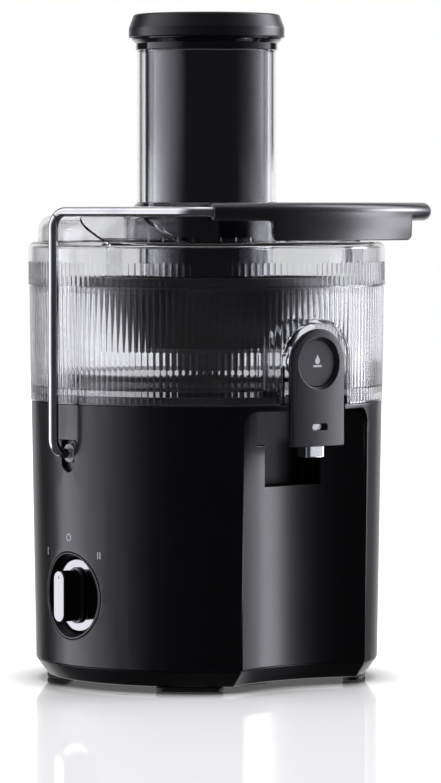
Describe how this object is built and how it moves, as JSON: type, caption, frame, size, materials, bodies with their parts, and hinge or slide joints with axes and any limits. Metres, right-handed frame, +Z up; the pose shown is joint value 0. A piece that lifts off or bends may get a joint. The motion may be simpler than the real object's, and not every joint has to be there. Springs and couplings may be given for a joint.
{
  "type": "centrifugal juicer",
  "caption": "Upright electric juicer with a motor base, jug bay, clear fluted bowl and lid, tall feed tube, pusher, wire locking bail, dial and drip-stop spout.",
  "frame": {"origin": "on the rotor axis, on the surface that the feet stand on", "axes": "+Z up along the rotor axis, -Y towards the front with the spout, -X towards the side with the dial"},
  "size_m": [0.2256, 0.2245, 0.381],
  "materials": {
    "housing_black": "satin black moulded plastic with a fine grain",
    "matt_dark_grey": "matt dark grey moulded plastic",
    "rubber_black": "matt black rubber",
    "plated_steel": "zinc-plated steel",
    "bearing_steel": "polished bearing steel",
    "laminated_iron": "stacked iron laminations",
    "copper": "enamelled copper wire and copper bars",
    "brass": "brass",
    "silicone_grey": "grey silicone",
    "switch_plastic": "plain switch housing plastic",
    "clear_plastic": "clear transparent plastic, fluted on the bowl and the lid's skirt",
    "satin_silver": "satin silver",
    "inner_black": "black plastic",
    "natural_plastic": "natural white plastic",
    "stainless_sieve": "perforated stainless steel",
    "gloss_black": "gloss black plastic",
    "stainless_wire": "polished stainless steel wire",
    "light_grey_plastic": "light grey plastic"
  },
  "bodies": {
    "base": {"motor_housing": "housing_black", "cord_gland": "housing_black", "dial_bezel": "housing_black", "base_plate": "matt_dark_grey", "spout_cover": "matt_dark_grey", "pivot_blocks": "matt_dark_grey", "feet": "rubber_black", "motor_mounts": "rubber_black", "base_screws": "plated_steel", "upper_bracket": "plated_steel", "lower_bracket": "plated_steel", "upper_bearing": "bearing_steel", "lower_bearing": "bearing_steel", "button_spring": "bearing_steel", "stator_core": "laminated_iron", "field_windings": "copper", "brush_holders": "brass", "shaft_seal": "silicone_grey", "bowl_gasket": "silicone_grey", "safety_switch": "switch_plastic", "rotary_switch": "switch_plastic", "bowl": "clear_plastic", "juice_collector": "clear_plastic", "lid": "clear_plastic", "feed_tube": "clear_plastic", "spout_nozzle": "satin_silver"},
    "rotor": {"motor_shaft": "plated_steel", "armature": "copper", "commutator": "copper", "cooling_fan": "inner_black", "drive_coupling": "inner_black", "sieve_base": "inner_black", "sieve_mesh": "stainless_sieve", "sieve_rim": "inner_black", "grater_disc": "stainless_sieve"},
    "pusher": {"pusher_body": "gloss_black", "pusher_cap": "gloss_black"},
    "bail": {"bail_wire": "stainless_wire", "bail_handle": "matt_dark_grey", "pivot_rings": "light_grey_plastic"},
    "dial": {"dial_spindle": "plated_steel", "dial_disc": "satin_silver", "dial_grip": "gloss_black", "dial_face": "satin_silver"},
    "button": {"spout_button": "matt_dark_grey", "drip_valve": "natural_plastic"}
  },
  "joints": [
    {"name": "rotor_spin", "type": "hinge", "parent": "base", "child": "rotor", "pos_m": [0, 0, 0.1], "axis": [0, 0, 1], "continuous": true},
    {"name": "pusher_lift", "type": "slide", "parent": "base", "child": "pusher", "axis": [0, 0, 1], "range_m": [0, 0.16]},
    {"name": "bail_swing", "type": "hinge", "parent": "base", "child": "bail", "pos_m": [0, 0, 0.1323], "axis": [1, 0, 0], "range_deg": [0, 94]},
    {"name": "dial_turn", "type": "hinge", "parent": "base", "child": "dial", "pos_m": [-0.09, 0, 0.0518], "axis": [-1, 0, 0], "range_deg": [-45, 45]},
    {"name": "button_press", "type": "slide", "parent": "base", "child": "button", "axis": [0, 1, 0], "range_m": [0, 0.0025], "stiffness_N_per_m": 400, "springref_m": -0.004, "deforming": ["button_spring"]}
  ]
}
